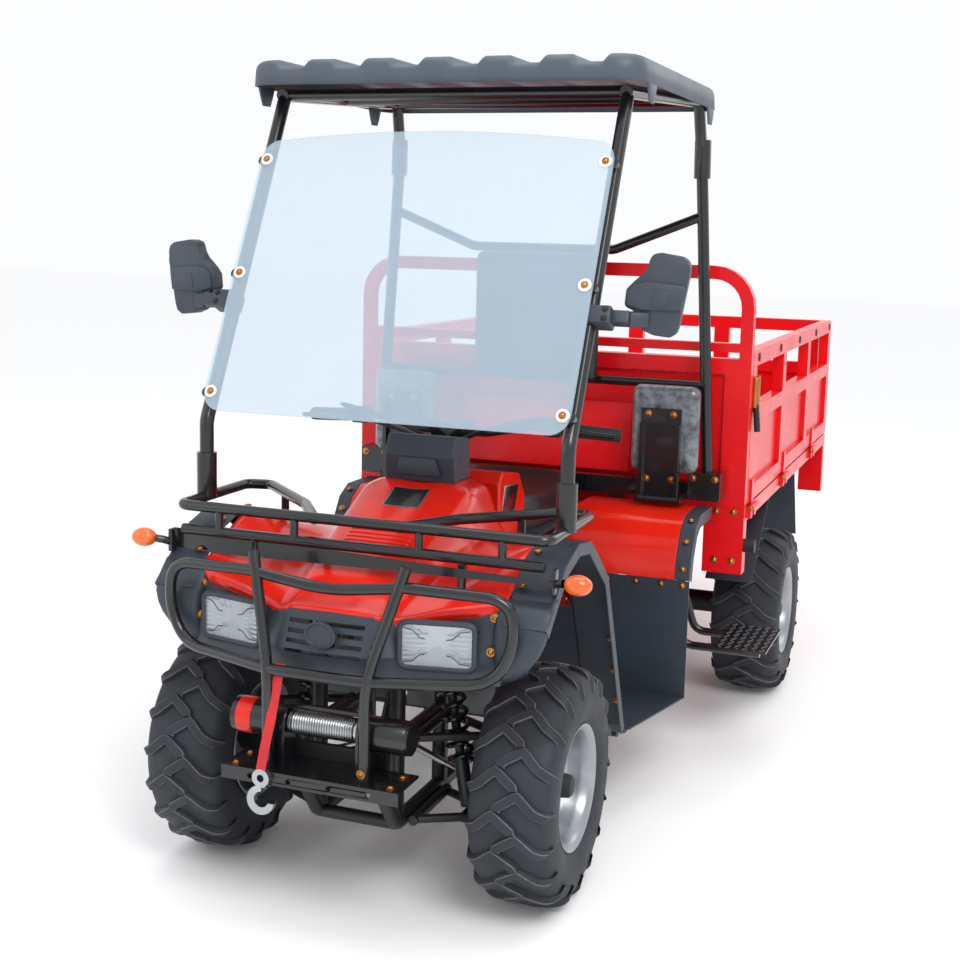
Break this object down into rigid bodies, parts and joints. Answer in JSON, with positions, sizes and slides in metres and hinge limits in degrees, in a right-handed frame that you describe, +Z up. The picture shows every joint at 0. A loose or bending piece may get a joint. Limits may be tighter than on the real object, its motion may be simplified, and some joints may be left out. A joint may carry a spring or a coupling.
{
  "type": "quad bike with cargo bed",
  "caption": "Roofed farm quad bike with a drop-side cargo bed, bull bar, winch, front carrier, windscreen and folding passenger seats.",
  "frame": {"origin": "on the ground under the middle of the bounding box", "axes": "+X to the vehicle's left, -Y to its front, +Z up"},
  "size_m": [1.444, 3.3734, 1.885],
  "materials": {
    "red_paint": "gloss red paint",
    "red_plastic": "moulded-in red plastic",
    "dark_plastic": "dark blue-grey moulded plastic",
    "black_tube": "gloss black powder coat",
    "frame_paint": "satin black paint",
    "tyre_rubber": "matt rubber",
    "rim_paint": "silver paint",
    "rubber": "matt rubber",
    "seat_skin": "black vinyl",
    "clear_sheet": "clear polycarbonate",
    "lamp_lens": "clear moulded lens",
    "amber_lens": "amber lens",
    "red_lens": "red lens",
    "cast_metal": "bare casting",
    "steel": "zinc-plated steel"
  },
  "bodies": {
    "chassis": {"backrest_pad": "seat_skin", "bed_floor": "red_paint", "buffers": "rubber", "bull_bar": "black_tube", "chassis_frame": "frame_paint", "dash_pod": "dark_plastic", "engine": "cast_metal", "exhaust": "frame_paint", "footwells": "dark_plastic", "front_flares": "dark_plastic", "front_posts": "black_tube", "front_rack": "black_tube", "front_spring_legs": "frame_paint", "front_wishbones": "frame_paint", "headboard": "red_paint", "headlamps": "lamp_lens", "hood": "red_plastic", "indicators": "amber_lens", "leaf_springs": "frame_paint", "mirrors": "dark_plastic", "nose_panel": "dark_plastic", "rear_axle": "frame_paint", "rear_crossbar": "black_tube", "rear_fender_trims": "dark_plastic", "rear_fenders": "red_plastic", "rear_mudguards": "dark_plastic", "rear_posts": "black_tube", "rider_seat": "seat_skin", "roof": "dark_plastic", "roof_rails": "black_tube", "seat_beam": "black_tube", "seat_pan": "dark_plastic", "steps": "steel", "tail_lamps": "red_lens", "tank_cover": "red_plastic", "winch": "black_tube", "winch_drum": "steel", "winch_hook": "steel", "winch_plate": "black_tube", "windscreen": "clear_sheet"},
    "steering": {"handlebar": "frame_paint", "grips": "rubber"},
    "knuckle_left": {"knuckle_left": "frame_paint"},
    "knuckle_right": {"knuckle_right": "frame_paint"},
    "tie_rods": {"tie_rods": "steel"},
    "jump_seat_left": {"jump_seat_bracket_left": "black_tube", "jump_seat_pad_left": "seat_skin"},
    "jump_seat_right": {"jump_seat_bracket_right": "black_tube", "jump_seat_pad_right": "seat_skin"},
    "drop_side_left": {"side_panel_left": "red_paint"},
    "drop_side_right": {"side_panel_right": "red_paint"},
    "tailgate": {"tailgate": "red_paint"},
    "wheel_front_left": {"tyre_front_left": "tyre_rubber", "rim_front_left": "rim_paint"},
    "wheel_front_right": {"tyre_front_right": "tyre_rubber", "rim_front_right": "rim_paint"},
    "wheel_rear_left": {"tyre_rear_left": "tyre_rubber", "rim_rear_left": "rim_paint"},
    "wheel_rear_right": {"tyre_rear_right": "tyre_rubber", "rim_rear_right": "rim_paint"}
  },
  "joints": [
    {"name": "handlebar_turn", "type": "hinge", "parent": "chassis", "child": "steering", "pos_m": [0, -1.27035, 0.35], "axis": [0, 0.5, 0.866], "range_deg": [-40, 40]},
    {"name": "tie_rod_shift", "type": "slide", "parent": "chassis", "child": "tie_rods", "axis": [1, 0, 0], "range_m": [-0.03809, 0.03809]},
    {"name": "kingpin_left", "type": "hinge", "parent": "chassis", "child": "knuckle_left", "pos_m": [0.3, -1.30035, 0.267], "axis": [0, 0, 1], "range_deg": [-33, 33]},
    {"name": "roll_front_left", "type": "hinge", "parent": "knuckle_left", "child": "wheel_front_left", "pos_m": [0.394, -1.30035, 0.267], "axis": [1, 0, 0], "continuous": true},
    {"name": "roll_rear_left", "type": "hinge", "parent": "chassis", "child": "wheel_rear_left", "pos_m": [0.564, 0.45465, 0.267], "axis": [1, 0, 0], "continuous": true},
    {"name": "seat_fold_left", "type": "hinge", "parent": "chassis", "child": "jump_seat_left", "pos_m": [0.401, -0.31035, 0.744], "axis": [1, 0, 0], "range_deg": [0, 90]},
    {"name": "side_drop_left", "type": "hinge", "parent": "chassis", "child": "drop_side_left", "pos_m": [0.622, 0.76315, 0.697], "axis": [0, 1, 0], "range_deg": [0, 150]},
    {"name": "kingpin_right", "type": "hinge", "parent": "chassis", "child": "knuckle_right", "pos_m": [-0.3, -1.30035, 0.267], "axis": [0, 0, 1], "range_deg": [-33, 33]},
    {"name": "roll_front_right", "type": "hinge", "parent": "knuckle_right", "child": "wheel_front_right", "pos_m": [-0.394, -1.30035, 0.267], "axis": [1, 0, 0], "continuous": true},
    {"name": "roll_rear_right", "type": "hinge", "parent": "chassis", "child": "wheel_rear_right", "pos_m": [-0.564, 0.45465, 0.267], "axis": [1, 0, 0], "continuous": true},
    {"name": "seat_fold_right", "type": "hinge", "parent": "chassis", "child": "jump_seat_right", "pos_m": [-0.401, -0.31035, 0.744], "axis": [1, 0, 0], "range_deg": [0, 90]},
    {"name": "side_drop_right", "type": "hinge", "parent": "chassis", "child": "drop_side_right", "pos_m": [-0.622, 0.76315, 0.697], "axis": [0, -1, 0], "range_deg": [0, 150]},
    {"name": "tailgate_drop", "type": "hinge", "parent": "chassis", "child": "tailgate", "pos_m": [0, 1.66565, 0.697], "axis": [-1, 0, 0], "range_deg": [0, 165]}
  ],
  "couplings": [
    {"joint": "tie_rod_shift", "follows": "handlebar_turn", "m_per_rad": -0.053134},
    {"joint": "kingpin_left", "follows": "handlebar_turn", "ratio": 0.8},
    {"joint": "kingpin_right", "follows": "handlebar_turn", "ratio": 0.8}
  ]
}
